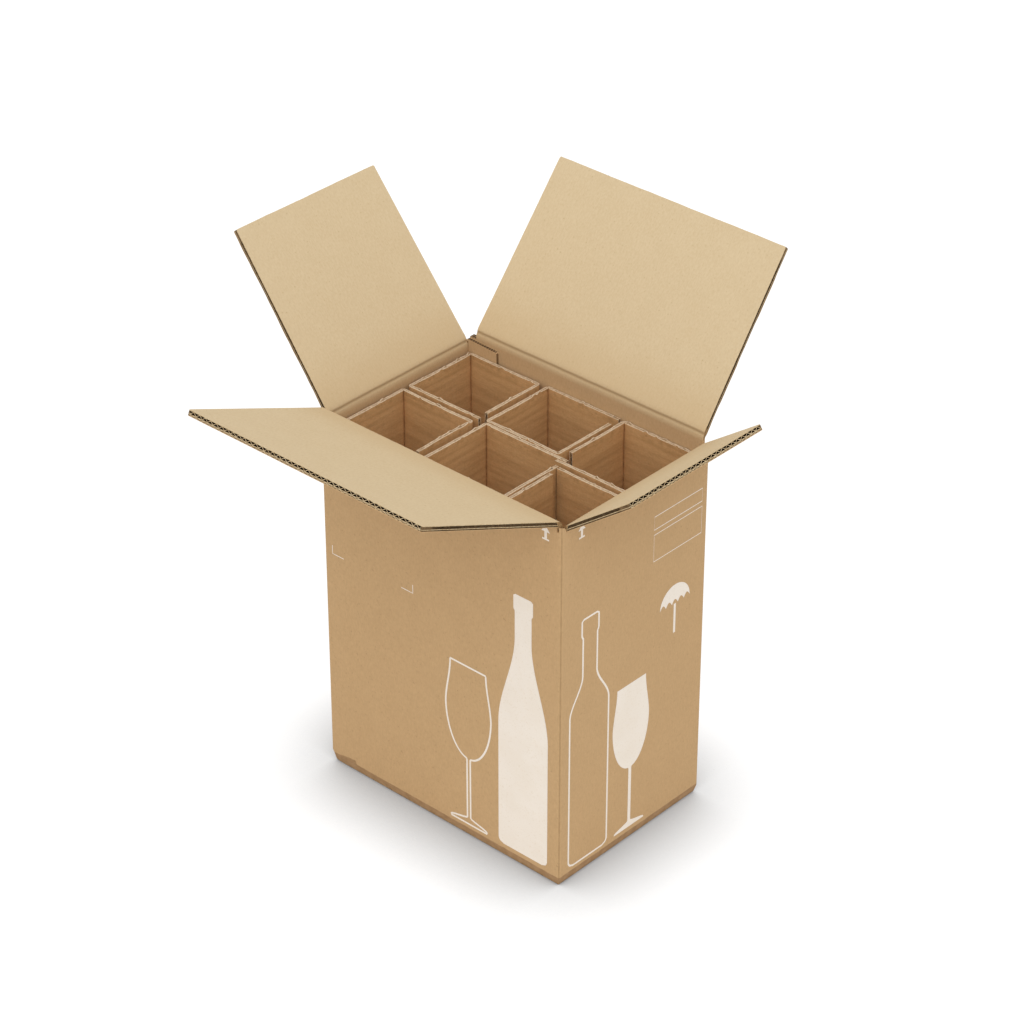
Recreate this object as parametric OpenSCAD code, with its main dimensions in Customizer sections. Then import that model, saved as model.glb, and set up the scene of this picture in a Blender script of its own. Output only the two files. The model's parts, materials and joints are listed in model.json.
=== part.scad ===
// Shipping box for six bottles: a double-wall carton that stands open, with a board sleeve for each bottle.
// X runs along the long side, Y from the front wall to the back wall, Z up, origin under the middle of the box.

/* [Bottle cells] */
// Clear width of one bottle cell, along the long side
cell_w = 90; // [76:1:110]
// Clear depth of one bottle cell, along the short side
cell_d = 86; // [76:1:110]
// Height of the sleeves that line the cells
sleeve_h = 394; // [300:1:440]

/* [Sleeves] */
// Thickness of the sleeves' single-wall board
sleeve_t = 4; // [3:0.5:4.5]
// Outer radius of a sleeve's folded corners
sleeve_r = 4; // [1:0.5:6]
// Slit at a sleeve's open corner, where the sheet's two ends meet
slit = 10; // [6:1:16]
// Slit of the back right sleeve, whose sheet is cut short
wide_slit = 18; // [8:1:24]
// How much wider the front middle sleeve has spread, and how much narrower the front right one stands
spread = 12; // [0:1:14]
// Gap between neighbouring sleeves in a row
sleeve_gap = 4; // [2.5:0.1:6]
// Gap between the two rows when both stand centred
row_gap = 10; // [9:1:18]

/* [Carton] */
// Thickness of the carton's double-wall board
board_t = 6; // [4:0.5:8]
// Room between the sleeves and each end wall
end_clear = 4; // [1.6:0.1:5]
// Room between the sleeves and the glue tab on the back wall
tab_clear = 1.5; // [1:0.1:4]
// Room that a sleeve keeps from the wall it leans to
lean_clear = 1; // [0.5:0.1:2]
// Room over the sleeves, under the closed end flaps
head_room = 3; // [2:0.5:40]
// Outer radius of the upright folded edges
edge_r = 3; // [1:0.5:4]
// Height of the crushed bend along the bottom edges
bend_h = 11; // [6:1:16]
// How far the crushed bend leans in at the floor
bend_in = 3; // [1:0.5:5]
// Height of the dent in the front left bottom corner
dent_h = 16; // [8:1:30]
// Depth of that dent at the floor, along the corner's diagonal
dent_in = 9; // [4:1:14]

/* [Glue tab] */
// Width of the glue tab that closes the carton's loop
tab_w = 40; // [25:1:50]
// Thickness of the glue tab, which is pressed thin
tab_t = 2.5; // [1.5:0.5:4]
// Drop of the glue tab's top below the back wall's inner edge
tab_drop = 2; // [1:0.5:8]
// Fall of the glue tab's top towards its end
tab_fall = 1.5; // [0:0.5:8]
// Length of the slope that trims the tab's upper corner
tab_trim = 2; // [1:0.5:10]

/* [Top flaps] */
// Length of the short right end flap, from its fold
right_flap_l = 93; // [60:1:140]
// Gap between the edges of the two end flaps when they are closed
end_flap_gap = 26; // [4:1:60]
// How far a closed long flap stops short of the opposite wall's outer face
long_flap_gap = 20; // [8:1:60]
// Slot between a long flap's root and the carton's end face
flap_slot = 4; // [3:0.5:16]
// Wider slot of the back flap beside the glue tab
tab_slot = 15; // [8:1:30]
// How much each side of a flap draws in from its fold to its free edge
flap_taper = 4; // [0:0.5:10]
// Room between a closed end flap and the front wall or the glue tab
end_flap_clear = 0.5; // [0.3:0.1:3]
// Clearance between closed flaps that lie on each other
layer_clear = 0.3; // [0.2:0.05:1]
// Gap across a fold, between the wall's mitre and the flap's
fold_gap = 0.4; // [0.3:0.05:0.8]

/* [Resting angles] */
// Angle of the open front flap above the horizontal
front_open = 23.4; // [0:0.1:80]
// Angle of the open back flap above the horizontal
back_open = 51.7; // [0:0.1:80]
// Angle of the open left flap above the horizontal
left_open = 51.7; // [0:0.1:80]
// Angle of the open right flap above the horizontal
right_open = 36.4; // [0:0.1:80]

/* [Corrugation] */
// Pitch of the coarse flute, on the carton's inner side
coarse_pitch = 7.85; // [6:0.05:9]
// Height of the coarse flute
coarse_h = 3; // [2:0.1:4]
// Pitch of the fine flute, on the carton's outer side
fine_pitch = 6.4; // [5:0.05:7]
// Height of the fine flute
fine_h = 1.9; // [1:0.1:2.5]
// Thickness of the fluted paper between two flute mouths
flute_paper = 0.5; // [0.3:0.1:1]
// Depth to which the flute mouths are open at a flap's edge
mouth_depth = 12; // [4:1:30]

/* [Hidden] */

kraft = "#BA9A6B";
kraft_inside = "#D0BA90";
sleeve_kraft = "#94703F";

// Sleeves: outer size, spacing, and how far each may lean in the room round them
sleeve_w = cell_w + 2 * sleeve_t;
sleeve_d = cell_d + 2 * sleeve_t;
column_x = sleeve_w + sleeve_gap;
row_y = (sleeve_d + row_gap) / 2;
side_clear = tab_t + tab_clear;
lean_x = end_clear - lean_clear;
lean_y = side_clear - lean_clear;

// Carton: inside, outside, and the floor of three layers of bottom flaps
inner_w = 3 * sleeve_w + 2 * sleeve_gap + 2 * end_clear;
inner_d = 2 * sleeve_d + row_gap + 2 * side_clear;
carton_w = inner_w + 2 * board_t;
carton_d = inner_d + 2 * board_t;
floor_z = 3 * board_t;

// Fold heights: closed, the end flaps lie lowest, then the front flap, then the back flap
end_fold_z = floor_z + sleeve_h + head_room + board_t;
front_fold_z = end_fold_z + board_t + layer_clear;
back_fold_z = front_fold_z + board_t + layer_clear;

// Flaps: lengths from the fold, and how far their roots reach from the middle
long_flap_l = carton_d - long_flap_gap;
left_flap_l = carton_w - right_flap_l - end_flap_gap;
long_root = carton_w / 2 - flap_slot;
tab_root = carton_w / 2 - tab_slot;
end_root = inner_d / 2 - end_flap_clear;

// Layers of the double-wall board: equal liners share what the two flutes leave
liner = (board_t - coarse_h - fine_h) / 3;

over = 1;

// Outline of a folded tube: a rectangle whose corners are arcs of a few straight facets
module folded_outline(w, d, r) {
    corners = [[1, 1, 0], [-1, 1, 90], [-1, -1, 180], [1, -1, 270]];
    polygon([
        for (c = corners)
            for (a = [0 : 30 : 90])
                [c.x * (w / 2 - r) + r * cos(c.z + a), c.y * (d / 2 - r) + r * sin(c.z + a)]
    ]);
}

// The right half of an outline, followed by its mirror image back to the start
function mirrored(right) = concat(
    right,
    [for (i = [len(right) - 1 : -1 : 0]) [-right[i].x, right[i].y]]
);

// Carries a profile drawn in X and Z along Y, centred
module along_y(length) {
    rotate([90, 0, 0])
        linear_extrude(length, center = true)
            children();
}

// Carries a profile drawn in Y and Z along X, centred
module along_x(length) {
    rotate([90, 0, 90])
        linear_extrude(length, center = true)
            children();
}

// Seen from the front: end walls with bent-in bottom edges, mitred at the end flaps' folds
module front_view() {
    polygon(mirrored([
        [carton_w / 2 - bend_in, 0],
        [carton_w / 2, bend_h],
        [carton_w / 2, end_fold_z],
        [inner_w / 2, end_fold_z - board_t],
        [inner_w / 2, back_fold_z]
    ]));
}

// Seen from the end: long walls with bent-in bottom edges, mitred at the long flaps' folds
module end_view() {
    polygon([
        [-carton_d / 2 + bend_in, 0],
        [carton_d / 2 - bend_in, 0],
        [carton_d / 2, bend_h],
        [carton_d / 2, back_fold_z],
        [inner_d / 2, back_fold_z - board_t],
        [-inner_d / 2, back_fold_z - board_t],
        [-inner_d / 2, front_fold_z - board_t],
        [-carton_d / 2, front_fold_z],
        [-carton_d / 2, bend_h]
    ]);
}

// What the dent takes off the front left bottom corner: a slope that fades out at the dent's height
module corner_dent() {
    reach = 3 * dent_h;
    translate([-carton_w / 2, -carton_d / 2, dent_h])
        rotate([0, 0, 225])
            rotate([0, atan(dent_in / dent_h), 0])
                translate([0, -reach, -2 * reach])
                    cube([reach, 2 * reach, 2 * reach]);
}

// Slots between the top flaps: the walls end there level with the folds' inner edges
module flap_slots() {
    half = board_t + end_flap_clear;
    for (x = [-1, 1])
        for (y = [-1, 1])
            translate([x * carton_w / 2 - half, y * carton_d / 2 - half, end_fold_z - board_t])
                cube([2 * half, 2 * half, back_fold_z]);
    translate([-carton_w / 2 - over, inner_d / 2 - over, back_fold_z - board_t])
        cube([tab_slot + over, board_t + 2 * over, board_t + over]);
}

// Strip at the end of the left wall, glued inside the back wall to close the carton's loop
module glue_tab() {
    tab_top = back_fold_z - board_t - tab_drop;
    tab_end = tab_w - inner_w / 2;
    translate([0, (inner_d - tab_t + over) / 2, 0])
        along_y(tab_t + over)
            polygon([
                [-inner_w / 2, floor_z - over],
                [tab_end, floor_z - over],
                [tab_end, tab_top - tab_fall - tab_trim],
                [tab_end - tab_trim, tab_top - tab_fall],
                [-inner_w / 2, tab_top]
            ]);
}

// The carton: one folded sheet, with its walls, its glue tab and its closed bottom flaps
module carton_body() {
    color(kraft) {
        difference() {
            intersection() {
                linear_extrude(back_fold_z)
                    folded_outline(carton_w, carton_d, edge_r);
                along_y(carton_d)
                    front_view();
                along_x(carton_w)
                    end_view();
            }
            translate([-inner_w / 2, -inner_d / 2, floor_z])
                cube([inner_w, inner_d, back_fold_z]);
            // Gap between the two bottom end flaps, the innermost layer of the floor
            translate([left_flap_l - carton_w / 2, -inner_d / 2, 2 * board_t])
                cube([end_flap_gap, inner_d, board_t + over]);
            corner_dent();
            flap_slots();
        }
        glue_tab();
    }
}

// Open ends of one row of flutes between x0 and x1: triangles on either side of the fluted paper
module flute_mouths(x0, x1, pitch, height, base) {
    count = floor((x1 - x0) / pitch);
    start = (x0 + x1 - count * pitch) / 2;
    half = pitch / 2 - flute_paper;
    rise = height * 2 * half / pitch;
    for (i = [0 : count - 1]) {
        middle = start + (i + 0.5) * pitch;
        polygon([[middle - half, base], [middle + half, base], [middle, base + rise]]);
    }
    for (i = [1 : count - 1]) {
        middle = start + i * pitch;
        polygon([
            [middle - half, base + height],
            [middle, base + height - rise],
            [middle + half, base + height]
        ]);
    }
}

// A top flap that lies level and outward from its fold, inner face up, with open flutes in its free edge.
// It reaches from -left to right at the fold and draws in towards the free edge.
module flap(length, left, right) {
    x0 = flap_taper - left;
    x1 = right - flap_taper;
    color(kraft_inside)
        difference() {
            intersection() {
                along_x(2 * carton_w)
                    polygon([
                        [fold_gap, 0],
                        [length, 0],
                        [length, board_t],
                        [fold_gap + board_t, board_t]
                    ]);
                linear_extrude(board_t)
                    polygon([[-left, 0], [right, 0], [x1, length], [x0, length]]);
            }
            translate([0, length, 0])
                along_y(2 * mouth_depth) {
                    flute_mouths(x0, x1, fine_pitch, fine_h, liner);
                    flute_mouths(x0, x1, coarse_pitch, coarse_h, 2 * liner + fine_h);
                }
        }
}

// Puts a flap on the fold of the wall that faces turn degrees from the back, raised from level by open
module on_fold(turn, distance, fold_z, open) {
    rotate([0, 0, turn])
        translate([0, distance, fold_z])
            rotate([open, 0, 0])
                children();
}

module front_flap() {
    on_fold(180, carton_d / 2, front_fold_z, front_open)
        flap(long_flap_l, long_root, long_root);
}

module back_flap() {
    on_fold(0, carton_d / 2, back_fold_z, back_open)
        flap(long_flap_l, tab_root, long_root);
}

module left_flap() {
    on_fold(90, carton_w / 2, end_fold_z, left_open)
        flap(left_flap_l, end_root, end_root - tab_t);
}

module right_flap() {
    on_fold(270, carton_w / 2, end_fold_z, right_open)
        flap(right_flap_l, end_root - tab_t, end_root);
}

// A sheet folded into a square tube round one bottle, of outer size w by d with its middle at x, y.
// At its open corner the wall across X ends short by gap.
module sleeve(x, y, w, d, open_x, open_y, gap) {
    translate([x, y, floor_z])
        color(sleeve_kraft)
            linear_extrude(sleeve_h)
                difference() {
                    union() {
                        folded_outline(w, d, sleeve_r);
                        translate([open_x * (w / 2 - sleeve_r), open_y * (d / 2 - sleeve_r)])
                            square(2 * sleeve_r, center = true);
                    }
                    square([w - 2 * sleeve_t, d - 2 * sleeve_t], center = true);
                    translate([open_x * (w - sleeve_t) / 2, open_y * ((d - gap) / 2 - sleeve_t)])
                        square([sleeve_t + 2 * over, gap], center = true);
                }
}

module sleeve_back_left() {
    sleeve(-column_x, row_y + tab_clear / 2, sleeve_w, sleeve_d, 1, -1, slit);
}

module sleeve_back_middle() {
    sleeve(lean_x, row_y + lean_y, sleeve_w, sleeve_d, 1, 1, slit);
}

// The back right sleeve is deeper than the others by the gap between the rows
module sleeve_back_right() {
    sleeve(column_x + lean_x, lean_y + sleeve_d / 2, sleeve_w, sleeve_d + row_gap, -1, -1, wide_slit);
}

module sleeve_front_left() {
    sleeve(-column_x, row_gap / 2 - row_y, sleeve_w, sleeve_d, 1, -1, slit);
}

// The front middle sleeve's back wall stands between the back middle sleeve and the back right one's front
module sleeve_front_middle() {
    x = sleeve_gap + (lean_x + spread) / 2;
    sleeve(x, lean_y + sleeve_t - sleeve_d / 2, sleeve_w + spread, sleeve_d, 1, 1, slit);
}

module sleeve_front_right() {
    sleeve(column_x + lean_x + spread / 2, -row_y - lean_y, sleeve_w - spread, sleeve_d, -1, 1, slit);
}

carton_body();
front_flap();
back_flap();
left_flap();
right_flap();
sleeve_back_left();
sleeve_back_middle();
sleeve_back_right();
sleeve_front_left();
sleeve_front_middle();
sleeve_front_right();
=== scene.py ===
import json
import math

import bpy
import numpy as np
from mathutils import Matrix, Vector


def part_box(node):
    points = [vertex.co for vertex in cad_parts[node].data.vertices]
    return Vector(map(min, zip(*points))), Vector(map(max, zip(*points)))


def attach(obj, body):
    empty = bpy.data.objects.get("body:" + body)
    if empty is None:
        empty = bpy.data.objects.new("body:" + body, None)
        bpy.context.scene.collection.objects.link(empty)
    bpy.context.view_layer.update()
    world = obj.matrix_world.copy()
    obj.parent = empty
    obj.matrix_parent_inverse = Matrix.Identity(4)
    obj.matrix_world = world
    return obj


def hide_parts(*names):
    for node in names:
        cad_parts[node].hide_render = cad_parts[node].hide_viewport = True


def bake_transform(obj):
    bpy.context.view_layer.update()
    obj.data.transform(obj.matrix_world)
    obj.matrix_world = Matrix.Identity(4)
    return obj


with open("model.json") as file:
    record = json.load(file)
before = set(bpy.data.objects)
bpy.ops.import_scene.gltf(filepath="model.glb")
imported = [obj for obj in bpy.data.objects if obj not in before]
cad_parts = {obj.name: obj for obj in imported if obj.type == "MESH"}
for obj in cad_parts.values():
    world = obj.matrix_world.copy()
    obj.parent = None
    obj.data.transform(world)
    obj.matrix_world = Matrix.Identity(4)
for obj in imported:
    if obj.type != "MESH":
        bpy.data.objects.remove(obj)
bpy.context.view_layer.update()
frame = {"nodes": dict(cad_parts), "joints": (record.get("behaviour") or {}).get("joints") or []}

# Carton: one sheet of double-wall corrugated board, folded into a loop, glued at a tab inside its back
# wall and closed at the bottom. The outside is smooth brown kraft liner, the inside a paler liner, painted a
# little darker and warmer as painted shade; a band of painted shade for the bend where the board turns under runs
# along the bottom, taller at the crushed front left corner.
MM = 0.001
BOARD = 6.0
FINE_PITCH = 6.4
COARSE_PITCH = 7.85
CLOUD = 26 * MM
SPECK = 2.4 * MM
# Fibres are near 0.05 x 2 mm; they are drawn coarser, as a pixel of the photograph is about 1 mm
FIBRE_LENGTH = 6 * MM
FIBRE_WIDTH = 1.3 * MM
WALL_GRAIN = (1 / FIBRE_WIDTH, 1 / FIBRE_WIDTH, 1 / FIBRE_LENGTH)
OUTSIDE = ("C8A579", "BD9B70", "98784F")
INSIDE = ("DAC5A1", "D1BA94", "AD9268")
# SHADED is the inner liner painted darker and warmer: painted shade for the walls' inside
SHADED = ("CFAF86", "C5A47B", "A3875E")
# Height and ragged top of the band of painted shade along the bottom bend, and how it rises over the crushed corner
BAND_H = 9.4
BAND_RAGGED = 2.2
CRUSH_W = 35
CRUSH_STEP = 3
CRUSH_H = 4.5
TAB_END = 46
TAB_TOP = 14.4
TAB_SLOPE = 0.04
TAB_DEPTH = (8.6, 6.1)
TAB_SLOT = (15.2, 6.2)


def srgb(code):
    """Linear colour of a hex code: each channel is ((c + 0.055) / 1.055) to the power 2.4."""
    channels = [int(code[i:i + 2], 16) / 255 for i in (0, 2, 4)]
    return (*(((c + 0.055) / 1.055) ** 2.4 for c in channels), 1)


def add(tree, kind, feeds=None, **settings):
    """Adds one node with its settings, and feeds its inputs with values or with other nodes' outputs."""
    node = tree.nodes.new(kind)
    for key, value in settings.items():
        setattr(node, key, value)
    for key, value in (feeds or {}).items():
        if isinstance(value, bpy.types.NodeSocket):
            tree.links.new(value, node.inputs[key])
        else:
            node.inputs[key].default_value = value
    return node


def mix(tree, share, one, other):
    """Colour that goes from one to other as share goes from 0 to 1."""
    return add(tree, "ShaderNodeMix", {0: share, 6: one, 7: other}, data_type="RGBA").outputs[2]


def ramp(tree, value, low, high, to_low=0.0, to_high=1.0):
    """Number that goes smoothly from to_low to to_high as value goes from low to high."""
    feeds = {"Value": value, "From Min": low, "From Max": high, "To Min": to_low, "To Max": to_high}
    return add(tree, "ShaderNodeMapRange", feeds, interpolation_type="SMOOTHSTEP").outputs[0]


def maths(tree, operation, *terms):
    """Result of one arithmetic node on up to three terms."""
    return add(tree, "ShaderNodeMath", dict(enumerate(terms)), operation=operation).outputs[0]


def within(tree, value, low, high):
    """1 where value lies between low and high, else 0."""
    return maths(tree, "COMPARE", value, (low + high) / 2, (high - low) / 2)


def noise(tree, coords, scale, detail=3.0, roughness=0.55):
    """Height of a noise field between 0 and 1, whose lumps are 1 / scale across."""
    feeds = {"Vector": coords, "Scale": scale, "Detail": detail, "Roughness": roughness}
    return add(tree, "ShaderNodeTexNoise", feeds).outputs[0]


def kraft_sheet(tree, coords, grain, pale, deep, fleck):
    """Colour and relief of a kraft liner: pale to deep by clouds, grains and fibres of pulp, then sparse flecks."""
    clouds = noise(tree, coords, 1 / CLOUD, 4.0)
    stretched = add(tree, "ShaderNodeMapping", {"Vector": coords, "Scale": grain}).outputs[0]
    fibres = noise(tree, stretched, 1.0, 2.0)
    grains = noise(tree, coords, 1 / SPECK, 1.0)
    depth = maths(tree, "MULTIPLY_ADD", clouds, 0.4, maths(tree, "MULTIPLY_ADD", grains, 0.7, fibres))
    sheet = mix(tree, ramp(tree, depth, 0.6, 1.5), srgb(pale), srgb(deep))
    specks = ramp(tree, grains, 0.71, 0.78, 0.0, 0.4)
    return mix(tree, specks, sheet, srgb(fleck)), fibres


def paper(name, roughness=0.84, specular=0.22):
    """A new matte paper material, its node tree and its shader."""
    material = bpy.data.materials.new(name)
    material.use_nodes = True
    shader = material.node_tree.nodes["Principled BSDF"]
    shader.inputs["Roughness"].default_value = roughness
    shader.inputs["Specular IOR Level"].default_value = specular
    return material, material.node_tree, shader


def relief(tree, shader, height, strength=0.16):
    """Gives the shader a bump of a quarter of a millimetre from a height between 0 and 1."""
    bump = add(tree, "ShaderNodeBump", {"Height": height, "Strength": strength, "Distance": 0.25 * MM})
    tree.links.new(bump.outputs[0], shader.inputs["Normal"])


# Brown kraft outside, paler inside in painted shade, with faint upright flute lines. A dark band of painted shade,
# for the bend under the bottom, runs along it with a ragged top; the upright edges are rubbed to a thin line, and the
# glue tab's cut edges show flute mouths as stripes of painted shade
carton_board, tree, shader = paper("kraft_liner_carton")
coords = add(tree, "ShaderNodeTexCoord").outputs["Object"]
axes = add(tree, "ShaderNodeSeparateXYZ", {"Vector": coords}).outputs
half_w, half_d, wall_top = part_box("carton_body")[1]
outside, fibres = kraft_sheet(tree, coords, WALL_GRAIN, *OUTSIDE)
# The walls' inside takes SHADED: painted shade inside the box
inside = kraft_sheet(tree, coords, WALL_GRAIN, *SHADED)[0]
wall_x = maths(tree, "SUBTRACT", maths(tree, "ABSOLUTE", axes[0]), half_w)
wall_y = maths(tree, "SUBTRACT", maths(tree, "ABSOLUTE", axes[1]), half_d)
is_inside = maths(tree, "LESS_THAN", maths(tree, "MAXIMUM", wall_x, wall_y), -0.95 * BOARD * MM)
above_floor = maths(tree, "GREATER_THAN", axes[2], 2.9 * BOARD * MM)
colour = mix(tree, maths(tree, "MULTIPLY", is_inside, above_floor), outside, inside)
# Painted shade of the bend where the board turns under: a dark band along the bottom, with a ragged top that rises
# over the crushed front left corner
ragged = noise(tree, coords, 1 / (9 * MM), 4.0)
crush_end = CRUSH_W * MM - half_w
crushed = ramp(tree, axes[0], -half_w, crush_end, 0.0, CRUSH_H * MM)
crush_fade = ramp(tree, axes[0], crush_end, crush_end + CRUSH_STEP * MM, 1.0, 0.0)
crushed = maths(tree, "MULTIPLY", crushed, crush_fade)
crushed = maths(tree, "MULTIPLY", crushed, maths(tree, "LESS_THAN", axes[1], 0.0))
band_top = maths(tree, "MULTIPLY_ADD", ragged, BAND_RAGGED * MM, maths(tree, "ADD", crushed, BAND_H * MM))
band = ramp(tree, maths(tree, "SUBTRACT", axes[2], band_top), -0.5 * MM, 0.5 * MM, 0.85, 0.0)
bend_painted_shade = mix(tree, ramp(tree, ragged, 0.35, 0.65), srgb("A5835F"), srgb("967450"))
colour = mix(tree, band, colour, bend_painted_shade)
to_edge = add(tree, "ShaderNodeCombineXYZ", {0: wall_x, 1: wall_y}).outputs[0]
to_edge = add(tree, "ShaderNodeVectorMath", {0: to_edge}, operation="LENGTH").outputs["Value"]
near_edge = ramp(tree, to_edge, 1.3 * MM, 1.9 * MM, 1.0, 0.0)
worn = maths(tree, "MULTIPLY", near_edge, ramp(tree, ragged, 0.3, 0.7, 0.3, 0.45))
colour = mix(tree, worn, colour, srgb("7E6240"))
tab_end = TAB_END * MM - half_w
tab_fall = maths(tree, "MULTIPLY_ADD", axes[0], TAB_SLOPE, axes[2])
past_top = maths(tree, "SUBTRACT", tab_fall, wall_top - TAB_TOP * MM)
past_cut = maths(tree, "MAXIMUM", past_top, maths(tree, "SUBTRACT", axes[0], tab_end))
on_tab = within(tree, axes[0], -half_w, tab_end + 0.2 * MM)
cut = maths(tree, "MULTIPLY", maths(tree, "GREATER_THAN", past_cut, -0.4 * MM), on_tab)
cut = maths(tree, "MULTIPLY", cut, within(tree, axes[1], *(half_d - depth * MM for depth in TAB_DEPTH)))
in_slot = within(tree, axes[0], -half_w, TAB_SLOT[0] * MM - half_w)
at_slot_floor = maths(tree, "GREATER_THAN", axes[2], wall_top - TAB_SLOT[1] * MM)
cut = maths(tree, "MAXIMUM", cut, maths(tree, "MULTIPLY", in_slot, at_slot_floor))
# Flute mouths on the tab's cut edges and the slot's floor: dark stripes of painted shade between the cut paper's
# paler lines
mouths = maths(tree, "SINE", maths(tree, "MULTIPLY", axes[0], 2 * math.pi / (FINE_PITCH / 2 * MM)))
colour = mix(tree, cut, colour, mix(tree, ramp(tree, mouths, -0.2, 0.6), srgb("4A3625"), srgb("8B7150")))
tree.links.new(colour, shader.inputs["Base Color"])
along = maths(tree, "MULTIPLY", maths(tree, "ADD", axes[0], axes[1]), 2 * math.pi / (FINE_PITCH * MM))
relief(tree, shader, maths(tree, "MULTIPLY_ADD", maths(tree, "SINE", along), 0.1, fibres))
for place in frame["nodes"]["carton_body"].material_slots:
    place.material = carton_board

# Top flaps: four panels of the same sheet, creased at the wall tops and standing open. The board is three
# liners with a fine and a coarse fluted paper glued between them; the flutes' mouths show along each free
# edge, and the sides show the liners as pale lines.
# Real liners and fluted papers are 0.2 to 0.3 mm; they are drawn thicker, as a pixel is about 1 mm
LINER = 0.65
FLUTE_PAPER = 0.55
FINE_H = 1.2
COARSE_H = 2.85
MOUTH = 14.0
SIDE_SINK = 0.5
PINCH = 1.4
FOLD_GAP = 0.4
TAPER = 4.0
CORNER = 1.8


def waver(t, seed, span):
    """Smooth ripple of about -1 to 1 along t: six sines whose waves shorten from span to span / 11."""
    draw = np.random.default_rng(seed)
    t = np.asarray(t, float)
    total = np.zeros_like(t)
    for k in range(1, 12, 2):
        total = total + np.sin(2 * np.pi * k * t / span + draw.uniform(0, 2 * np.pi)) / k ** 0.7
    return total / 2.2


def quads(rows, columns, wrap=False):
    """Faces of a grid of points counted row by row; with wrap the last row joins the first."""
    ids = np.arange(rows * columns).reshape(rows, columns)
    if wrap:
        ids = np.vstack([ids, ids[:1]])
    return np.stack([ids[:-1, :-1], ids[:-1, 1:], ids[1:, 1:], ids[1:, :-1]], -1).reshape(-1, 4)


def slab(low, high, uv, top, bottom, side):
    """Closed sheet between two grids of points (rows, columns, 3); top, bottom and side are material numbers."""
    rows, columns = low.shape[:2]
    count = rows * columns
    ids = np.arange(count).reshape(rows, columns)
    ring = np.concatenate([ids[0, :-1], ids[:-1, -1], ids[-1, :0:-1], ids[:0:-1, 0]])
    after = np.roll(ring, -1)
    face = quads(rows, columns)
    faces = np.vstack([face + count, face[:, ::-1], np.stack([ring, after, after + count, ring + count], -1)])
    slots = np.repeat([top, bottom, side], [len(face), len(face), len(ring)])
    points = np.vstack([low.reshape(-1, 3), high.reshape(-1, 3)])
    return points, faces, slots, np.vstack([uv.reshape(-1, 2)] * 2)


def piece(name, shells, materials, sharp=35):
    """One mesh object from shells of points and UV in mm, faces and material numbers."""
    starts = np.cumsum([0] + [len(shell[0]) for shell in shells])
    points = np.vstack([shell[0] for shell in shells]) * MM
    faces = np.vstack([shell[1] + start for shell, start in zip(shells, starts)])
    slots = np.concatenate([shell[2] for shell in shells])
    uv = np.vstack([shell[3] for shell in shells]) * MM
    mesh = bpy.data.meshes.new(name)
    mesh.from_pydata(points.tolist(), [], faces.tolist())
    for material in materials:
        mesh.materials.append(material)
    mesh.polygons.foreach_set("material_index", slots.astype(np.int32))
    mesh.uv_layers.new(name="UVMap").data.foreach_set("uv", uv[faces.ravel()].astype(np.float32).ravel())
    mesh.shade_smooth()
    mesh.set_sharp_from_angle(angle=math.radians(sharp))
    obj = bpy.data.objects.new(name, mesh)
    bpy.context.scene.collection.objects.link(obj)
    return obj


def fold_frame(joint):
    """Middle of a fold, and the rows of its flap's frame: along the fold, out along the flap, and its inner
    normal. The flap rises from level by what its joint lacks of half a turn at its closed limit."""
    along = np.array(joint["axis"], float)
    level = np.cross([0, 0, 1], along)
    rise = math.radians(180 - joint["range_deg"][1])
    out = level * math.cos(rise) + np.array([0, 0, math.sin(rise)])
    normal = np.array([0, 0, math.cos(rise)]) - level * math.sin(rise)
    return np.array(joint["pos_m"]) / MM, np.array([along, out, normal]), level, rise


def spread(low, high, step):
    """Stations from low to high, close together at both ends and about step apart between."""
    edge = np.array([0, 0.5, 1.2, 2.1, 3.0, 5.0])
    middle = np.linspace(low + 8, high - 8, max(2, int((high - low) / step)))
    return np.concatenate([low + edge, middle, high - edge[::-1]])


def liner_sheet(size, start, base, seed, loose):
    """Grids of one liner's two faces in the flap's frame: rounded free corners, a slightly rough cut, sides that
    wander by loose, and at the fold an end mitred at half a right angle."""
    w0, w1, length = size
    w, u = np.meshgrid(spread(w0, w1, 9), spread(start, length, 9))
    for side in (-1, 1):
        a = np.clip(side * w - (max(side * w0, side * w1) - CORNER), 0, None)
        b = np.clip(u - (length - CORNER), 0, None)
        shrink = np.where((a > 0) & (b > 0), np.maximum(a, b) / np.maximum(np.hypot(a, b), 1e-9), 1)
        w = w - side * a * (1 - shrink)
        u = u - b * (1 - shrink)
    near_end = np.clip(1 - (length - u) / 6, 0, 1)
    near_side = np.clip(1 - np.minimum(w - w0, w1 - w) / 6, 0, 1)
    u = u - near_end * (0.25 + 0.25 * waver(w, seed, 110))
    wander = loose * (1 + waver(u, seed + 1, 90)) * np.clip((u - start) / 20, 0, 1)
    w = w - near_side * np.sign(w - (w0 + w1) / 2) * wander
    mitre = LINER * np.clip(1 - (u - start) / 5, 0, 1)
    low = np.stack([w, u, np.full_like(w, base)], -1)
    high = np.stack([w, u + mitre, np.full_like(w, base + LINER)], -1)
    return low, high, low[..., :2]


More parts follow.
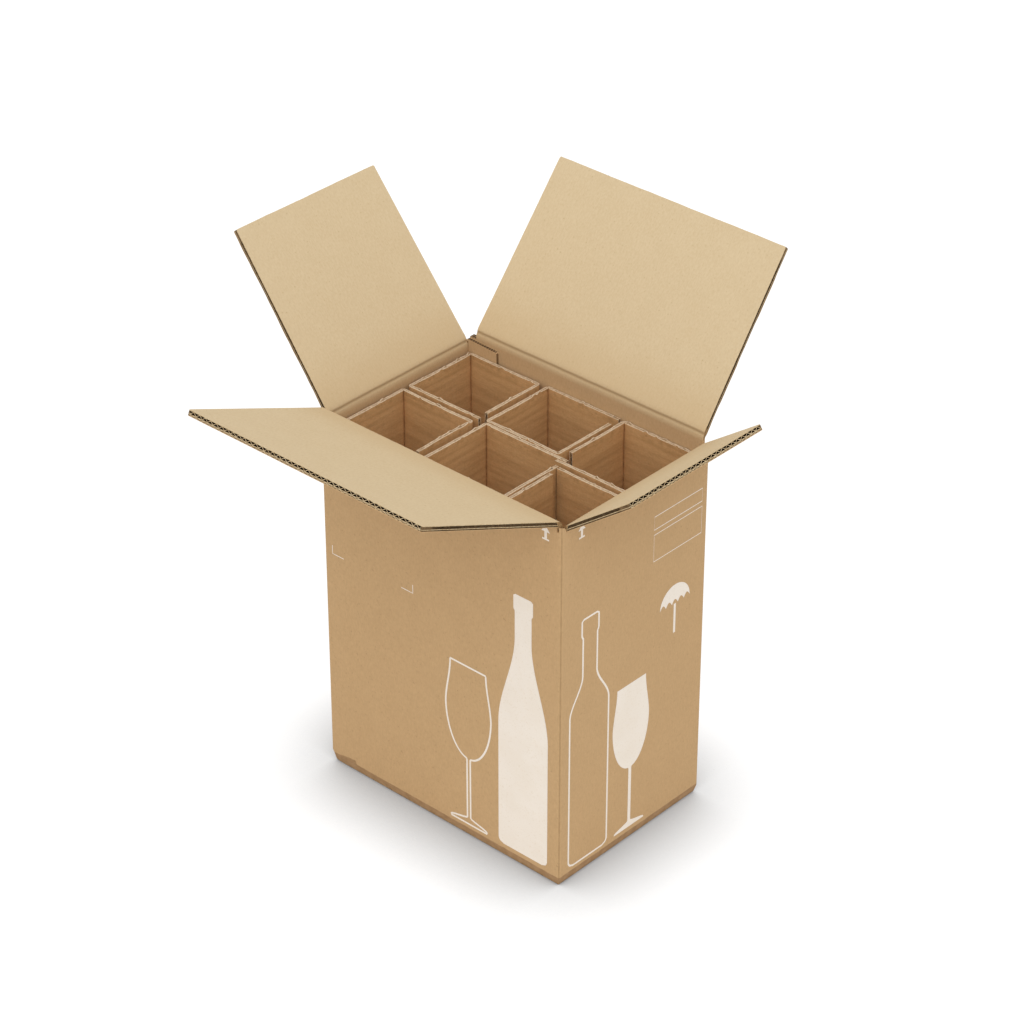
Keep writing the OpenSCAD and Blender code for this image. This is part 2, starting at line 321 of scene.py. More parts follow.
def flute_sheet(w0, w1, u0, u1, base, height, pitch, seed):
    """Grids of a fluted paper's two faces: a wave of that pitch and height, slightly uneven, offset along its
    normal by half the paper."""
    w = np.linspace(w0, w1, int((w1 - w0) / pitch * 12))
    phase = 2 * np.pi * w / pitch + 0.5 * waver(w, seed, 140)
    reach = (height - FLUTE_PAPER) / 2 * (1 - 0.1 * np.abs(waver(w, seed + 1, 60)))
    v = base + height / 2 + reach * np.cos(phase)
    slope = np.gradient(v, w)
    stretch = FLUTE_PAPER / 2 / np.hypot(1, slope)
    faces = []
    for side in (-1, 1):
        rows = [np.stack([w - side * slope * stretch, np.full_like(w, u0), v + side * stretch], -1),
                np.stack([w - side * slope * stretch, u1 + 0.35 * waver(w, seed + 2, 25), v + side * stretch], -1)]
        faces.append(np.stack(rows))
    return faces[0], faces[1], faces[0][..., :2]


def drawn_in(points, size):
    """Moves the sides in by TAPER at the free edge, in step with the distance from the fold."""
    w0, w1, length = size
    shift = TAPER * points[:, 1] / length * (1 - 2 * (points[:, 0] - w0) / (w1 - w0))
    return points + shift[:, None] * [1, 0, 0]


# Pale inner liner of the flaps: matte, with soft clouds of pulp, short fibres and faint flute lines, and darker
# towards the fold as painted shade
inner_liner, tree, shader = paper("kraft_liner_inner")
coords = add(tree, "ShaderNodeTexCoord").outputs["UV"]
SHEET_GRAIN = (1 / FIBRE_WIDTH, 1 / FIBRE_LENGTH, 1)
colour, fibres = kraft_sheet(tree, coords, SHEET_GRAIN, *INSIDE)
across, out = add(tree, "ShaderNodeSeparateXYZ", {"Vector": coords}).outputs[:2]
# Painted shade towards the fold
fold_painted_shade = ramp(tree, out, 0, 60 * MM, 0.4, 0.0)
tree.links.new(mix(tree, fold_painted_shade, colour, srgb("C8AB80")), shader.inputs["Base Color"])
waves = maths(tree, "SINE", maths(tree, "MULTIPLY", across, 2 * math.pi / (COARSE_PITCH * MM)))
relief(tree, shader, maths(tree, "MULTIPLY_ADD", waves, 0.1, fibres))

# Inner liner along a crease: the same paper, darkened by painted shade as the flap is near its fold, turning below
# the score into the walls' painted-shade inside, with a thin dark line of painted shade in the score's valley
creased_liner, tree, shader = paper("kraft_liner_creased")
coords = add(tree, "ShaderNodeTexCoord").outputs["UV"]
colour, fibres = kraft_sheet(tree, coords, SHEET_GRAIN, *INSIDE)
past_score = add(tree, "ShaderNodeSeparateXYZ", {"Vector": coords}).outputs[1]
colour = mix(tree, 0.4, colour, srgb("C8AB80"))
on_wall = ramp(tree, past_score, -1 * MM, -11 * MM)
colour = mix(tree, on_wall, colour, kraft_sheet(tree, coords, SHEET_GRAIN, *SHADED)[0])
# A thin dark line of painted shade along the score's valley
score_painted_shade = ramp(tree, maths(tree, "ABSOLUTE", past_score), 0.1 * MM, 3 * MM, 0.55, 0.0)
tree.links.new(mix(tree, score_painted_shade, colour, srgb("8A6A45")), shader.inputs["Base Color"])
relief(tree, shader, fibres)

# Brown outer liner of the flaps, like the walls' outside
outer_liner, tree, shader = paper("kraft_liner_outer")
coords = add(tree, "ShaderNodeTexCoord").outputs["UV"]
colour, fibres = kraft_sheet(tree, coords, SHEET_GRAIN, *OUTSIDE)
tree.links.new(colour, shader.inputs["Base Color"])
relief(tree, shader, fibres)


def raw_pulp(name, lump, low, high, pale, deep, specular=0.05):
    """A rough unprinted paper: pale to deep as a noise with lumps of that many mm goes from low to high."""
    material, tree, shader = paper(name, 0.95, specular)
    coords = add(tree, "ShaderNodeTexCoord").outputs["Object"]
    pulp = noise(tree, coords, 1 / (lump * MM), 4.0, 0.7)
    colour = mix(tree, ramp(tree, pulp, low, high), srgb(pale), srgb(deep))
    tree.links.new(colour, shader.inputs["Base Color"])
    relief(tree, shader, pulp, 0.6)
    return material


# Cut edge of the liners: pale torn fibre, speckled along the cut
cut_edge = raw_pulp("board_cut_edge", 2.5, 0.3, 0.7, "DCC6A0", "B49870", 0.1)
# Fluted paper inside the board, seen only in its mouths and between the liners: rough pulp painted very dark, as
# painted shade deep in the mouths
painted_shade_fluting = raw_pulp("board_fluting", 4, 0.3, 0.7, "56402B", "38281A")
# Fine fluted paper on the outer side, crushed nearly shut by the knife, so that it reads paler
fine_fluting = raw_pulp("board_fluting_fine", 4, 0.3, 0.7, "AC8C64", "876A48")
# Fluted paper along a flap's side, where the slotting knife pressed it shut: dull grey brown
side_fluting = raw_pulp("board_fluting_side", 4, 0.3, 0.7, "80674A", "5E4A34")

BOARD_MATERIALS = [inner_liner, outer_liner, cut_edge, painted_shade_fluting, creased_liner, fine_fluting, side_fluting]
INNER, OUTER, CUT, FLUTE, CREASED, FINE, SIDE = range(7)
folds = {}
for number, joint in enumerate(frame["joints"]):
    node = joint["child"]
    origin, rows, level, rise = fold_frame(joint)
    corners = np.array([list(corner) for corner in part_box(node)]) / MM - origin
    w0, w1 = np.sort(corners @ rows[0])
    length = (corners @ level).max() / math.cos(rise)
    folds[node] = (origin, rows, level, rise, w0, w1)
    size = (w0, w1, length)
    seed = 10 * number
    middle = LINER + FINE_H
    upper = middle + LINER
    shells = [
        slab(*liner_sheet(size, FOLD_GAP, 0, seed, 0.45), FINE, OUTER, OUTER),
        slab(*liner_sheet(size, FOLD_GAP + middle, middle, seed + 2, 0.25), FLUTE, FINE, CUT),
        slab(*liner_sheet(size, FOLD_GAP + BOARD - LINER, BOARD - LINER, seed + 4, 0.1), INNER, FLUTE, CUT),
    ]
    left, right = w0 + SIDE_SINK, w1 - SIDE_SINK
    closed = length - 0.8
    stretches = ((left, right, length - MOUTH), (left, left + PINCH, closed), (right - PINCH, right, closed))
    for base, height, pitch, pulp in ((LINER, FINE_H, FINE_PITCH, FINE), (upper, COARSE_H, COARSE_PITCH, FLUTE)):
        for start, end, reach in stretches:
            w, u = np.meshgrid([start, end], [0.0, reach])
            floor = np.stack([w, np.maximum(u, FOLD_GAP + base), np.full_like(w, base)], -1)
            roof = np.stack([w, np.maximum(u, FOLD_GAP + base + height), np.full_like(w, base + height)], -1)
            shells.append(slab(floor, roof, floor[..., :2], pulp, pulp, SIDE))
        wave = flute_sheet(left + PINCH, right - PINCH, length - MOUTH, length - 0.4, base, height, pitch, seed + 6)
        shells.append(slab(*wave, pulp, pulp, CUT))
    shells = [(drawn_in(shell[0], size) @ rows + origin, *shell[1:]) for shell in shells]
    flap = piece(node + "_board", shells, BOARD_MATERIALS)
    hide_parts(node)
    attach(flap, node)

# Creases: the stretch of board at each fold, where the sheet turns from the wall into the flap. The inner
# liner turns in a short curve with one pressed line in its middle.
TURN = 7.5
SCORE_W = 0.1
SCORE_D = 0.5


def fan(ids):
    """Faces that close a ring of an even number of points: each spans two sides and meets the last point."""
    return np.stack([np.full(len(ids) // 2 - 1, ids[-1]), ids[0:-2:2], ids[1:-1:2], ids[2::2]], -1)


for node, (origin, rows, level, rise, w0, w1) in folds.items():
    up = np.array([0, 0, 1.0])
    out = np.array([math.cos(rise), math.sin(rise)])
    normal = np.array([-math.sin(rise), math.cos(rise)])
    foot = np.array([-BOARD, -BOARD])
    corner = np.array([-BOARD, BOARD * (1 - math.sin(rise)) / math.cos(rise)])
    root = (FOLD_GAP + BOARD) * out + BOARD * normal
    t = np.linspace(0, 1, 26)[:, None]
    bend = (1 - t) ** 2 * (corner - [0, TURN]) + 2 * t * (1 - t) * corner + t ** 2 * (corner + TURN * out)
    inward = (normal + [-1, 0]) / np.hypot(*(normal + [-1, 0]))
    bend = bend - SCORE_D * np.exp(-((t - 0.5) / SCORE_W) ** 2) * inward
    profile = np.vstack([foot, bend, root, FOLD_GAP * out, [0, 0]])
    lengths = np.r_[0, np.cumsum(np.hypot(*np.diff(profile, axis=0).T))]
    w = np.linspace(w0, w1, 60)
    points = origin + (profile[:, :1] * level + profile[:, 1:] * up)[:, None] + w[None, :, None] * rows[0]
    near_score = np.r_[0, np.exp(-((t[:, 0] - 0.5) / 0.25) ** 2), 0, 0, 0]
    points = points + 0.3 * near_score[:, None, None] * waver(w, 77, 90)[None, :, None] * up
    uv = np.stack(np.broadcast_arrays(w[None, :], (lengths - lengths[14])[:, None]), -1)
    count, columns = points.shape[:2]
    faces = quads(count, columns, wrap=True)[:, ::-1]
    ids = np.arange(count * columns).reshape(count, columns)
    caps = np.vstack([fan(ids[:, 0]), fan(ids[:, -1])[:, ::-1]])
    slots = np.repeat([CREASED, CUT, OUTER, CUT, FINE], np.r_[np.array([27, 1, 1, 1]) * (columns - 1), len(caps)])
    shell = (points.reshape(-1, 3), np.vstack([faces, caps]), slots, uv.reshape(-1, 2))
    strip = piece(node + "_crease", [shell], BOARD_MATERIALS, 30)
    start, end = (origin + p[0] * level + p[1] * up for p in (foot, root))
    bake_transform(strip)

# Corners: at each upright edge the walls' board runs on a little way up between the roots of the flaps, and
# ends there in a rough cut. The front left corner is bent and crushed at the floor.
POST_W = 6.45
POST_R = 3.0
STRIP_GAP = 3.95
CRUSHED_CORNER = [[9.7, 3, 0], [3, 9.7, 0], [0.9, 0.9, 13.8], [3.6, 3.6, 0.4]]


def post(side_x, side_y, size, bottom, tops):
    """A short prism in one upright corner: two cut faces inside, and the folded edge's arc outside. Its top runs
    from one height at the long wall to the other at the end wall."""
    angle = np.radians(np.linspace(0, 90, 5))
    arc = np.stack([np.cos(angle), np.sin(angle)], -1) * POST_R - POST_R
    ring = np.vstack([[[-size[0], -size[1]], [-0.05, -size[1]]], arc - 0.05, [[-size[0], -0.05]]])
    height = np.where(ring[:, 1] < -POST_R - 0.1, tops[1], tops[0])
    ring = (ring + [wall_w, wall_d]) * [side_x, side_y]
    if side_x * side_y < 0:
        ring, height = ring[::-1], height[::-1]
    count = len(ring)
    levels = (np.full(count, bottom), height)
    points = np.stack([np.column_stack([ring, z]) for z in levels], 1).reshape(-1, 3)
    ids = np.arange(2 * count).reshape(count, 2)
    faces = np.vstack([quads(count, 2, wrap=True)[:, ::-1], fan(ids[:, 0])[:, ::-1], fan(ids[:, 1])])
    return points, faces, np.zeros(len(faces)), points[:, :2]


wall_w, wall_d = half_w / MM, half_d / MM
slot_floor = folds["left_flap"][0][2] - BOARD
front_root = folds["front_flap"][0][2] - BOARD
posts = []
for x in (-1, 1):
    posts.append(post(x, 1, (POST_W, POST_W), slot_floor, (slot_floor + 6, slot_floor + 6)))
    posts.append(post(x, -1, (POST_W, POST_W), slot_floor, (front_root - 0.1, front_root - 0.1)))
    posts.append(post(x, -1, (STRIP_GAP, POST_W - 0.25), front_root - 0.1, (front_root + 5.8, front_root + 2.5)))
wall_corners = piece("wall_corners", posts, [carton_board])
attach(wall_corners, "carton")
bent = np.array(CRUSHED_CORNER) - [wall_w, wall_d, 0]
sides = np.array([[0, 2, 3], [1, 3, 2], [0, 3, 1], [0, 1, 2]])
crushed_corner = piece("crushed_corner", [(bent, sides, np.zeros(4), bent[:, :2])], [carton_board])
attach(crushed_corner, "carton")

# Sleeves: six sheets of single-wall board, each scored and folded into a square tube that stands loose in
# its cell. The flutes lie level, so their ridges show as bands on the walls and the top edges show the
# two liners as pale lines; the sheet's two ends meet at an open corner.
SLEEVE_T = 4.0
SLEEVE_R = 4.0
LINER_EDGE = 1.3
GROOVE = 0.6
SCORE = 0.9
END_MOUTH = 8.0
SLEEVES = {
    "sleeve_back_left": (1, -1, 10),
    "sleeve_back_middle": (1, 1, 10),
    "sleeve_back_right": (-1, -1, 18),
    "sleeve_front_left": (1, -1, 10),
    "sleeve_front_middle": (1, 1, 10),
    "sleeve_front_right": (-1, 1, 10),
}
sleeve_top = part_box("sleeve_back_left")[1][2]

# Recycled brown liner of the sleeves: level bands where the flutes press through, rubbed dark at the top
sleeve_liner, tree, shader = paper("recycled_liner_sleeve", 0.88, 0.15)
coords = add(tree, "ShaderNodeTexCoord").outputs["UV"]
axes = add(tree, "ShaderNodeSeparateXYZ", {"Vector": coords}).outputs
colour, fibres = kraft_sheet(tree, coords, (1 / FIBRE_LENGTH, 1 / FIBRE_WIDTH, 1), "D8AE7C", "C99E6C", "96704A")
banded = add(tree, "ShaderNodeMapping", {"Vector": coords, "Scale": (1 / 0.12, 1 / 0.01, 1)}).outputs[0]
bands = noise(tree, banded, 1.0, 3.0)
colour = mix(tree, ramp(tree, bands, 0.4, 0.65, 0.0, 0.3), colour, srgb("9C7547"))
rub = noise(tree, coords, 1 / (11 * MM), 4.0, 0.65)
near_top = ramp(tree, axes[1], sleeve_top - 13 * MM, sleeve_top - 2 * MM)
scuff = maths(tree, "MULTIPLY", near_top, ramp(tree, rub, 0.46, 0.62, 0.0, 0.3))
colour = mix(tree, scuff, colour, srgb("8A6539"))
tree.links.new(colour, shader.inputs["Base Color"])
turns = maths(tree, "MULTIPLY", axes[1], 2 * math.pi / (COARSE_PITCH * MM))
height = maths(tree, "MULTIPLY_ADD", maths(tree, "SINE", turns), 0.4, maths(tree, "ADD", fibres, bands))
relief(tree, shader, height, 0.35)

# Cut edge of the sleeves' liners: much paler than their faces, with loose fibre
sleeve_edge = raw_pulp("recycled_liner_cut_edge", 3, 0.35, 0.75, "D2BDA2", "B0967A", 0.1)
# Fluted paper of the sleeves, flush with the cut: brown pulp between the two pale liners
sleeve_flute = raw_pulp("recycled_fluting", 5, 0.35, 0.65, "C6AE90", "A08464")


def ladder(ids):
    """Faces that close a ring of an even number of points, as rungs between its two halves."""
    half = len(ids) // 2
    one, other = ids[:half], ids[::-1][:half]
    return np.stack([one[:-1], one[1:], other[1:], other[:-1]], -1)


def sleeve_outline(half_w, half_d, gap):
    """Outer and inner outline of the sheet with its open corner at +x +y, from the short wall's end round to
    the full wall's end. A fold is an arc outside and a pressed notch inside. Also gives how far along its
    wall each point is, from 0 to 1."""
    in_w, in_d = half_w - SLEEVE_T, half_d - SLEEVE_T
    arc_w, arc_d = half_w - SLEEVE_R, half_d - SLEEVE_R
    short = in_d - gap - END_MOUTH
    walls = [
        ((half_w, short), (half_w, -arc_d), (in_w, short), (in_w, SCORE - in_d)),
        ((arc_w, -half_d), (-arc_w, -half_d), (in_w - SCORE, -in_d), (SCORE - in_w, -in_d)),
        ((-half_w, -arc_d), (-half_w, arc_d), (-in_w, SCORE - in_d), (-in_w, in_d - SCORE)),
        ((-arc_w, half_d), (half_w - END_MOUTH, half_d), (SCORE - in_w, in_d), (half_w - END_MOUTH, in_d)),
    ]
    outer, inner, share = [], [], []
    for number, (out_a, out_b, in_a, in_b) in enumerate(walls):
        t = np.linspace(0, 1, int(np.hypot(*np.subtract(out_b, out_a)) / 2))[:, None]
        outer.append(out_a + t * np.subtract(out_b, out_a))
        inner.append(in_a + t * np.subtract(in_b, in_a))
        share.append(t[:, 0])
        if number < 3:
            corner = np.array([(1, -1), (-1, -1), (-1, 1)][number])
            angle = np.radians(-90 * number - np.array([22.5, 45, 67.5]))
            outer.append(corner * [arc_w, arc_d] + SLEEVE_R * np.stack([np.cos(angle), np.sin(angle)], -1))
            notch = corner * [in_w + SCORE, in_d + SCORE]
            inner.append(np.stack([(notch + in_b) / 2, notch, (notch + walls[number + 1][2]) / 2]))
            share.append(np.zeros(3))
    return np.vstack(outer), np.vstack(inner), np.concatenate(share)


def burrs(s, seed, count):
    """Small torn points along an edge: count narrow peaks at drawn places, 0.5 to 2 mm high."""
    draw = np.random.default_rng(seed)
    total = np.zeros_like(s)
    places, rises, halves = draw.uniform(0, s[-1], count), draw.uniform(0.5, 2, count), draw.uniform(1.5, 4, count)
    for place, rise, half in zip(places, rises, halves):
        total = np.maximum(total, rise * np.clip(1 - np.abs(s - place) / half, 0, 1))
    return total


# The sleeves' fourth material is the fluting painted dark: painted shade in the mouths at the sheet's ends
LINED, EDGE, PULP, MOUTHS = range(4)
for number, (node, (open_x, open_y, gap)) in enumerate(SLEEVES.items()):
    low, high = (np.array(corner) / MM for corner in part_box(node))
    centre = (low + high) / 2
    tube_w, tube_d = (high - low)[:2] / 2
    bottom, top = low[2], high[2]
    seed = 200 + 20 * number
    outer, inner, share = sleeve_outline(tube_w, tube_d, gap)
    s = np.r_[0, np.cumsum(np.hypot(*np.diff(outer, axis=0).T))]
    out_top = top - 0.4 + 0.35 * waver(s, seed, 150) + burrs(s, seed + 1, 7)
    in_top = top - 0.4 + 0.35 * waver(s, seed + 2, 130) + burrs(s, seed + 3, 7)
    climb = 1 - (1 - np.linspace(0, 1, 12)) ** 2
    wander = 0.3 * waver(s, seed + 4, 70)
    rows = [(0 * s, bottom + k * (out_top - bottom), LINED) for k in climb[:-1]]
    rows += [
        (0 * s, out_top, EDGE),
        (LINER_EDGE + wander, out_top, PULP),
        (LINER_EDGE + wander + 0.1, top - GROOVE + 0 * s, PULP),
        (SLEEVE_T - LINER_EDGE + wander - 0.1, top - GROOVE + 0 * s, PULP),
        (SLEEVE_T - LINER_EDGE + wander, in_top, EDGE),
    ]
    rows += [(SLEEVE_T + 0 * s, bottom + k * (in_top - bottom), LINED) for k in climb[::-1]]
    q, z = (np.stack([row[k] for row in rows]) for k in (0, 1))
    row_slot = np.array([row[2] for row in rows[:-1]] + [PULP])
    inward = (inner - outer) / np.hypot(*(inner - outer).T)[:, None]
    bow = np.clip(np.sin(np.pi * share) * (0.4 + 0.6 * waver(np.floor(s / 90) * 31.0, seed + 6, 97)), 0, 1)
    flat = outer + (q / SLEEVE_T)[..., None] * (inner - outer)
    flat = flat + inward * (bow * ((z - bottom) / (top - bottom)) ** 2)[..., None]
    points = np.concatenate([flat, z[..., None]], -1)
    uv = np.stack([np.broadcast_to(s, z.shape), z], -1)
    count, columns = z.shape
    ids = np.arange(count * columns).reshape(count, columns)
    caps = np.vstack([ladder(ids[:, 0]), ladder(ids[:, -1])[:, ::-1]])
    faces = np.vstack([quads(count, columns, wrap=True)[:, ::-1], caps])
    slots = np.concatenate([np.repeat(row_slot, columns - 1), np.full(len(caps), MOUTHS)])
    shells = [(points.reshape(-1, 3), faces, slots, uv.reshape(-1, 2))]
    # At each end of the sheet the liners run on past the fluted paper, whose mouths lie one above another
    ends = ((tube_w, tube_d - SLEEVE_T - gap - END_MOUTH, 0, 1), (tube_w - END_MOUTH, tube_d, 1, 0))
    for end, (x, y, run_x, run_y) in enumerate(ends):
        run = np.array([run_x, run_y, 0.0]) * END_MOUTH
        into = np.array([-run_y, -run_x, 0.0])
        near = np.array([x, y, 0.0])
        heights = np.linspace(bottom, top - 0.4, 12)
        for deep in (0.0, SLEEVE_T - LINER):
            face = near + deep * into + np.array([0 * run, run * 0.5, run])[None] + heights[:, None, None] * [0, 0, 1]
            run_uv = s[-1] * end + np.array([0, 4.0, 8.0])
            sheet_uv = np.stack(np.broadcast_arrays(run_uv[None], heights[:, None]), -1)
            shells.append(slab(face + LINER * into, face, sheet_uv, LINED, LINED, EDGE))
        rise_z = np.linspace(bottom, top - 0.6, 500)
        phase = 2 * np.pi * rise_z / COARSE_PITCH + waver(rise_z, seed + 8 + end, 160)
        swing = (SLEEVE_T / 2 - LINER - FLUTE_PAPER / 2) * np.cos(phase)
        slope = np.gradient(swing, rise_z)
        part = FLUTE_PAPER / 2 / np.hypot(1, slope)
        sides = []
        for side in (-1, 1):
            base = near + into * (SLEEVE_T / 2 + swing + side * part)[:, None]
            base = base + np.stack([0 * rise_z, 0 * rise_z, rise_z - side * slope * part], -1)
            sides.append(np.stack([base, base + run * 0.96], 1))
        wave_uv = np.stack([0 * sides[0][..., 0], sides[0][..., 2]], -1)
        shells.append(slab(*sides, wave_uv, MOUTHS, MOUTHS, PULP))
        deep = np.array([SLEEVE_T - LINER, LINER])[:, None, None] * into
        lid = near + deep + np.array([0 * run, run * 0.96])[None] + [0, 0, top - GROOVE]
        shells.append(slab(lid - [0, 0, 1.2], lid, lid[..., :2], PULP, PULP, PULP))
    turned = slice(None, None, -1) if open_x * open_y < 0 else slice(None)
    shells = [(p * [open_x, open_y, 1] + [*centre[:2], 0], f[:, turned], *rest) for p, f, *rest in shells]
    sleeve = piece(node + "_board", shells, [sleeve_liner, sleeve_edge, sleeve_flute, painted_shade_fluting])
    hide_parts(node)
    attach(sleeve, "carton")

# Print: one pale cream flexo ink laid flat on the kraft of the front and right walls. Plain bottle and
# glass figures stand along the bottom, with up arrows near the top, an umbrella, two empty frames and
# corner marks for a label.
INK_LIFT = 0.08
STROKE = 2.2
THIN_STROKE = 0.9

# Cream ink: matte and slightly starved, so that the kraft shows through in fine specks
ink, tree, shader = paper("flexo_ink_cream", 0.7, 0.25)
coords = add(tree, "ShaderNodeTexCoord").outputs["Object"]
starved = ramp(tree, noise(tree, coords, 1 / (2.2 * MM), 3.0, 0.7), 0.56, 0.72, 0.0, 0.4)
thin = ramp(tree, noise(tree, coords, 1 / (30 * MM), 3.0), 0.35, 0.7, 0.0, 0.18)
tint = mix(tree, thin, srgb("F2E8DB"), srgb("E4D5BF"))
tree.links.new(mix(tree, starved, tint, srgb("DCCAAF")), shader.inputs["Base Color"])


def smooth(t):
    """Ease from 0 to 1: 3 t squared minus 2 t cubed, with t held between 0 and 1."""
    t = np.clip(t, 0, 1)
    return t * t * (3 - 2 * t)


def bottle(height, body, neck, shoulder, collar):
    """Half widths of a bottle up its height: the body narrows to the neck over the shoulder's range, with a
    rounded heel and a slightly wider collar at the top."""
    z = np.linspace(0, height, 160)
    half = body - (body - neck) * smooth((z - shoulder[0]) / (shoulder[1] - shoulder[0]))
    heel = 7.0
    half = half - np.where(z < heel, heel - np.sqrt(np.clip(heel ** 2 - (heel - z) ** 2, 0, None)), 0)
    half = half + 1.8 * smooth((z - height + collar) / 3) - 2.5 * smooth((z - height + 2) / 2)
    return half, z


def glass(height, bowl, foot):
    """Half widths of a stemmed glass up its height: a foot, a thin stem and a bowl that closes in a little."""
    z = np.linspace(0, height, 160)
    stem = 2.2 + (foot - 2.2) * (1 - smooth((z - 1.5) / 7))
    t = np.clip((z - 0.42 * height) / (0.58 * height), 0, 1)
    cup = bowl * np.sqrt(np.clip(1 - (1 - np.minimum(t / 0.55, 1)) ** 2, 0, 1)) * (1 - 0.22 * smooth((t - 0.5) / 0.5))
    return np.maximum(stem, cup), z


def filled(half, z):
    """Faces between the left and right outline of a figure."""
    points = np.stack([np.stack([-half, z], -1), np.stack([half, z], -1)], 1)
    return points.reshape(-1, 2), quads(len(z), 2)


def ribbon(line, closed, stroke):
    """A stroke along a line of points: each point moved half the stroke to both sides along its normal."""
    line = np.asarray(line, float)
    ahead, behind = np.roll(line, -1, 0), np.roll(line, 1, 0)
    if not closed:
        ahead[-1], behind[0] = line[-1], line[0]
    way = ahead - behind
    way = way / np.hypot(*way.T)[:, None]
    side = np.stack([way[:, 1], -way[:, 0]], -1) * stroke / 2
    points = np.stack([line - side, line + side], 1)
    return points.reshape(-1, 2), quads(len(line), 2, wrap=closed)


def outlined(half, z):
    """Stroke round a figure: up its right outline, down its left one."""
    return ribbon(np.vstack([np.stack([half, z], -1), np.stack([-half, z], -1)[::-1]]), True, STROKE)


def arrow(width, height):
    """An upright arrow as fields: a foot bar, a stem and a pointed head."""
    foot = np.array([[-0.4, 0], [0.4, 0], [-0.4, 0.12], [0.4, 0.12]])
    stem = np.array([[-0.15, 0.12], [0.15, 0.12], [-0.15, 0.58], [0.15, 0.58]])
    head = np.array([[-0.5, 0.58], [0.5, 0.58], [-0.02, 1], [0.02, 1]])
    faces = np.array([[0, 1, 3, 2]])
    return np.vstack([foot, stem, head]) * [width, height], np.vstack([faces, faces + 4, faces + 8])


def umbrella(width, height):
    """A sign to keep dry as fields: a half-round canopy over five scallops, on a stick."""
    t = np.linspace(-1, 1, 101)
    dome = np.sqrt(np.clip(1 - t ** 2, 0, 1))
    hem = np.minimum(0.22 * np.abs(np.sin(2.5 * np.pi * (t + 1))), dome)
    canopy = np.stack([np.stack([t, hem], -1), np.stack([t, dome], -1)], 1).reshape(-1, 2) * width / 2
    stick = np.array([[-1.6, 0], [1.6, 0], [-1.6, height - width / 2], [1.6, height - width / 2]])
    faces = np.array([[0, 1, 3, 2]])
    return np.vstack([canopy + [0, height - width / 2], stick]), np.vstack([quads(101, 2), faces + 202])


def figure(name, wall, place, drawing):
    """A drawing (points in mm, faces) laid on the front or right wall with its foot at place."""
    flat, faces = drawing
    across, up = (flat + place).T
    off = np.full_like(across, INK_LIFT)
    if wall == "front":
        points = np.stack([across, -wall_d - off, up], -1)
    else:
        points = np.stack([wall_w + off, across, up], -1)
    normal = np.cross(points[faces[0][1]] - points[faces[0][0]], points[faces[0][2]] - points[faces[0][0]])
    outward = -normal[1] if wall == "front" else normal[0]
    faces = faces if outward > 0 else faces[:, ::-1]
    obj = piece(name, [(points, faces, np.zeros(len(faces)), flat)], [ink])
    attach(obj, "carton")


figure("print_bottle_filled", "front", (112, 16), filled(*bottle(312, 33, 11, (150, 262), 20)))
figure("print_glass_outline", "front", (38, 16), outlined(*glass(196, 31, 25)))
figure("print_bottle_outline", "right", (-66, 16), outlined(*bottle(292, 29, 10.5, (182, 226), 22)))
figure("print_glass_filled", "right", (-2, 16), filled(*glass(180, 28, 23)))
figure("print_arrow_front", "front", (140.5, 406.5), arrow(11, 16))
figure("print_arrow_right", "right", (-80.5, 404), arrow(10, 16))
figure("print_umbrella", "right", (62, 224), umbrella(46, 58))
mark_left = [(0, 10), (0, 5), (0, 0), (5, 0), (16, 0)]
mark_right = [(-16, 0), (-5, 0), (0, 0), (0, 5), (0, 10)]
field_upper = [(0, 0), (73, 0), (73, 15), (0, 15)]
field_lower = [(0, 0), (73, 0), (73, 31), (0, 31)]
figure("print_mark_left", "front", (-149.5, 264.5), ribbon(mark_left, False, THIN_STROKE))
figure("print_mark_right", "front", (-36.5, 266.5), ribbon(mark_right, False, THIN_STROKE))
figure("print_field_upper", "right", (27, 362), ribbon(field_upper, True, THIN_STROKE))
figure("print_field_lower", "right", (27, 325), ribbon(field_lower, True, THIN_STROKE))

# Floor: a plain white studio sweep. Soft light comes from all round and a little more from above
CONTACT = 108 * MM


def seen_directly(tree):
    """1 for what the camera sees straight, in a gloss or through glass, else 0."""
    path = add(tree, "ShaderNodeLightPath").outputs
    direct = maths(tree, "MAXIMUM", path["Is Camera Ray"], path["Is Glossy Ray"])
    return maths(tree, "MAXIMUM", direct, path["Is Transmission Ray"])


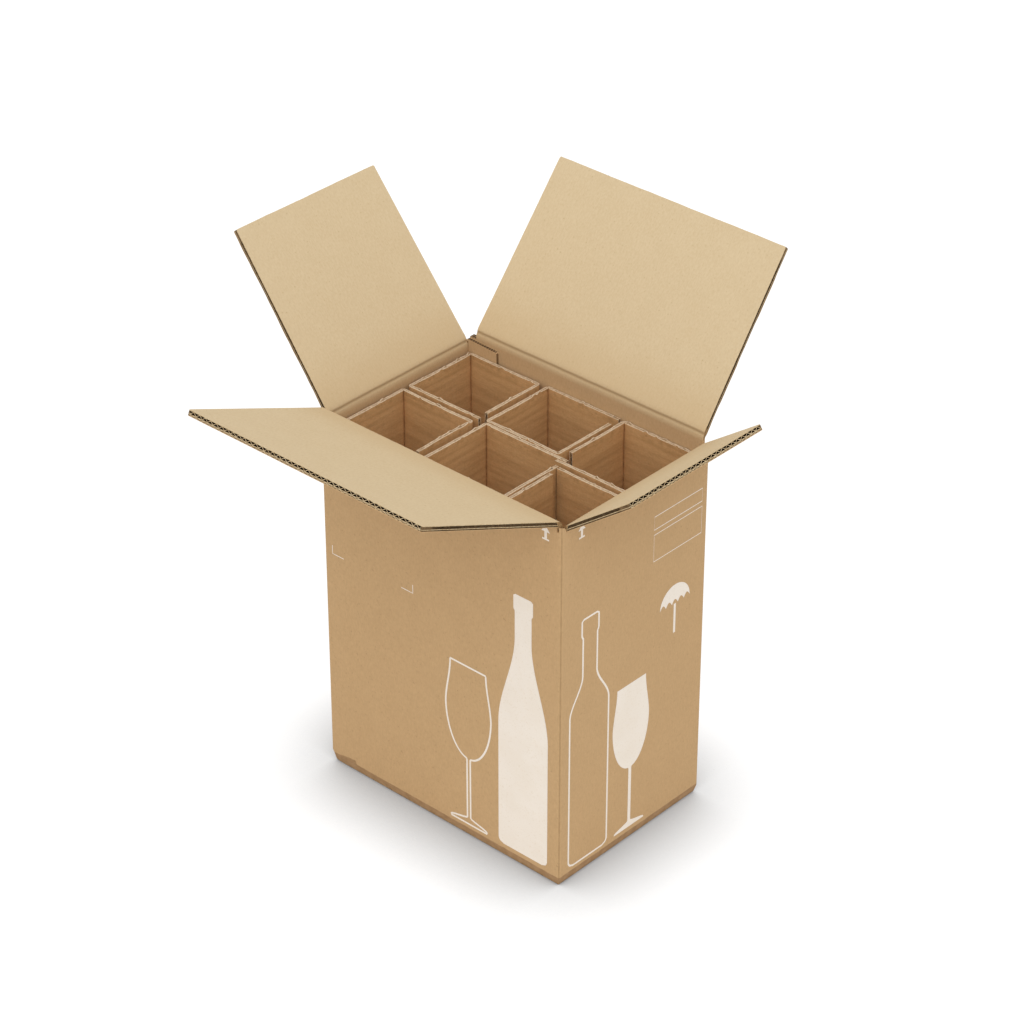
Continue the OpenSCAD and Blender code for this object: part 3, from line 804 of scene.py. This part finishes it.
# Matte white that the camera sees brighter, except near the box, where its contact shadow lies
floor_white, tree, shader = paper("studio_floor_white", 1.0, 0.0)
seen = seen_directly(tree)
tree.links.new(mix(tree, seen, (0.92, 0.92, 0.92, 1), (0.25, 0.25, 0.25, 1)), shader.inputs["Base Color"])
open_sky = add(tree, "ShaderNodeAmbientOcclusion", {"Distance": CONTACT}, samples=16).outputs["AO"]
strength = maths(tree, "MULTIPLY", seen, maths(tree, "MULTIPLY_ADD", open_sky, 1.13, -0.28))
glow = add(tree, "ShaderNodeEmission", {"Color": (1, 1, 1, 1), "Strength": strength})
both = add(tree, "ShaderNodeAddShader", {0: shader.outputs[0], 1: glow.outputs[0]})
tree.links.new(both.outputs[0], tree.nodes["Material Output"].inputs["Surface"])
mesh = bpy.data.meshes.new("studio_floor")
mesh.from_pydata([(-9, -9, -0.0005), (9, -9, -0.0005), (9, 9, -0.0005), (-9, 9, -0.0005)], [], [(0, 1, 2, 3)])
mesh.materials.append(floor_white)
floor = bpy.data.objects.new("studio_floor", mesh)
bpy.context.scene.collection.objects.link(floor)

world = bpy.data.worlds.new("studio")
world.use_nodes = True
tree = world.node_tree
seen = seen_directly(tree)
strength = ramp(tree, seen, 0, 1, 0.72, 1.0)
tree.links.new(strength, tree.nodes["Background"].inputs["Strength"])
tree.nodes["Background"].inputs["Color"].default_value = (1, 1, 1, 1)
bpy.context.scene.world = world

lamp = bpy.data.lights.new("studio_key", "SUN")
lamp.energy = 1.2
lamp.angle = math.radians(60)
key = bpy.data.objects.new("studio_key", lamp)
key.rotation_euler = (math.radians(30), 0, math.radians(36))
bpy.context.scene.collection.objects.link(key)

# Camera: at the photograph's place and angle, from a calibration on the box's edges and corners
AZIMUTH = math.radians(42.38)
ELEVATION = math.radians(32.3)
lens = bpy.data.cameras.new("camera")
lens.sensor_width = 36.0
lens.lens = 36.0 * 3388.8 / 1025
camera = bpy.data.objects.new("camera", lens)
camera.location = (1.93354, -2.12057, 2.14062)
camera.rotation_euler = (math.pi / 2 - ELEVATION, 0, AZIMUTH)
bpy.context.scene.collection.objects.link(camera)
bpy.context.scene.camera = camera

bpy.context.scene.view_settings.view_transform = "Standard"
